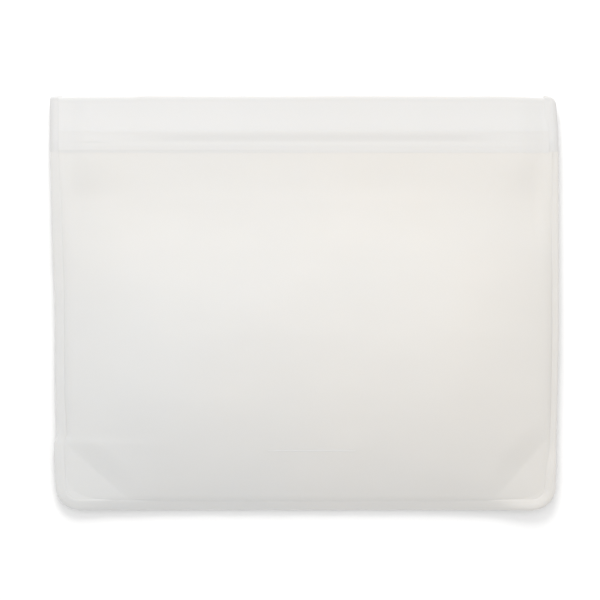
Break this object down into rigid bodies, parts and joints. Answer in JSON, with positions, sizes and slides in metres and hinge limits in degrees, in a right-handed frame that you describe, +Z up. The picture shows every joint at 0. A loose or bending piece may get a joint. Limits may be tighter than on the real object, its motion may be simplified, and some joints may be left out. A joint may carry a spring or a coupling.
{
  "type": "reusable silicone bag",
  "caption": "Reusable silicone food bag, lying on its back: puffed front and back walls, bonded edge seams, double-track press zip and grip lips.",
  "frame": {"origin": "middle of the bag's footprint, on the surface it lies on", "axes": "+X to the right across the bag, +Y toward the mouth, +Z up out of the front wall"},
  "size_m": [0.26, 0.2116, 0.0245],
  "materials": {
    "wall_silicone": "frosted matt, slightly translucent",
    "seam_silicone": "frosted matt",
    "lip_silicone": "frosted satin",
    "closure_silicone": "frosted satin",
    "track_silicone": "satin",
    "mark_silicone": "frosted matt"
  },
  "bodies": {
    "bag_back": {"back_wall": "wall_silicone", "back_closure_strip": "closure_silicone", "upper_channel": "track_silicone", "lower_channel": "track_silicone", "back_lip_left": "lip_silicone", "back_lip_right": "lip_silicone", "left_side_seam": "seam_silicone", "right_side_seam": "seam_silicone", "bottom_seam": "seam_silicone", "left_corner_seam": "seam_silicone", "right_corner_seam": "seam_silicone", "left_closure_end": "seam_silicone", "right_closure_end": "seam_silicone", "left_lip_end": "seam_silicone", "right_lip_end": "seam_silicone"},
    "front_panel": {"front_wall": "wall_silicone", "front_closure_strip": "closure_silicone", "upper_bead": "track_silicone", "lower_bead": "track_silicone", "front_lip_left": "lip_silicone", "front_lip_right": "lip_silicone", "mark_line": "mark_silicone"},
    "front_lip_body": {"front_lip": "lip_silicone"},
    "back_lip_body": {"back_lip": "lip_silicone"}
  },
  "joints": [
    {"name": "mouth_open", "type": "hinge", "parent": "bag_back", "child": "front_panel", "pos_m": [0, -0.09875, 0.0073], "axis": [1, 0, 0], "range_deg": [0, 14], "deforming": ["upper_channel", "lower_channel"]},
    {"name": "front_lip_peel", "type": "hinge", "parent": "front_panel", "child": "front_lip_body", "pos_m": [0, 0.08952, 0.00975], "axis": [1, 0, 0], "range_deg": [-7, 60], "stiffness_Nm_per_rad": 0.02},
    {"name": "back_lip_peel", "type": "hinge", "parent": "bag_back", "child": "back_lip_body", "pos_m": [0, 0.08952, 0.00325], "axis": [1, 0, 0], "range_deg": [-8, 7], "stiffness_Nm_per_rad": 0.02}
  ]
}
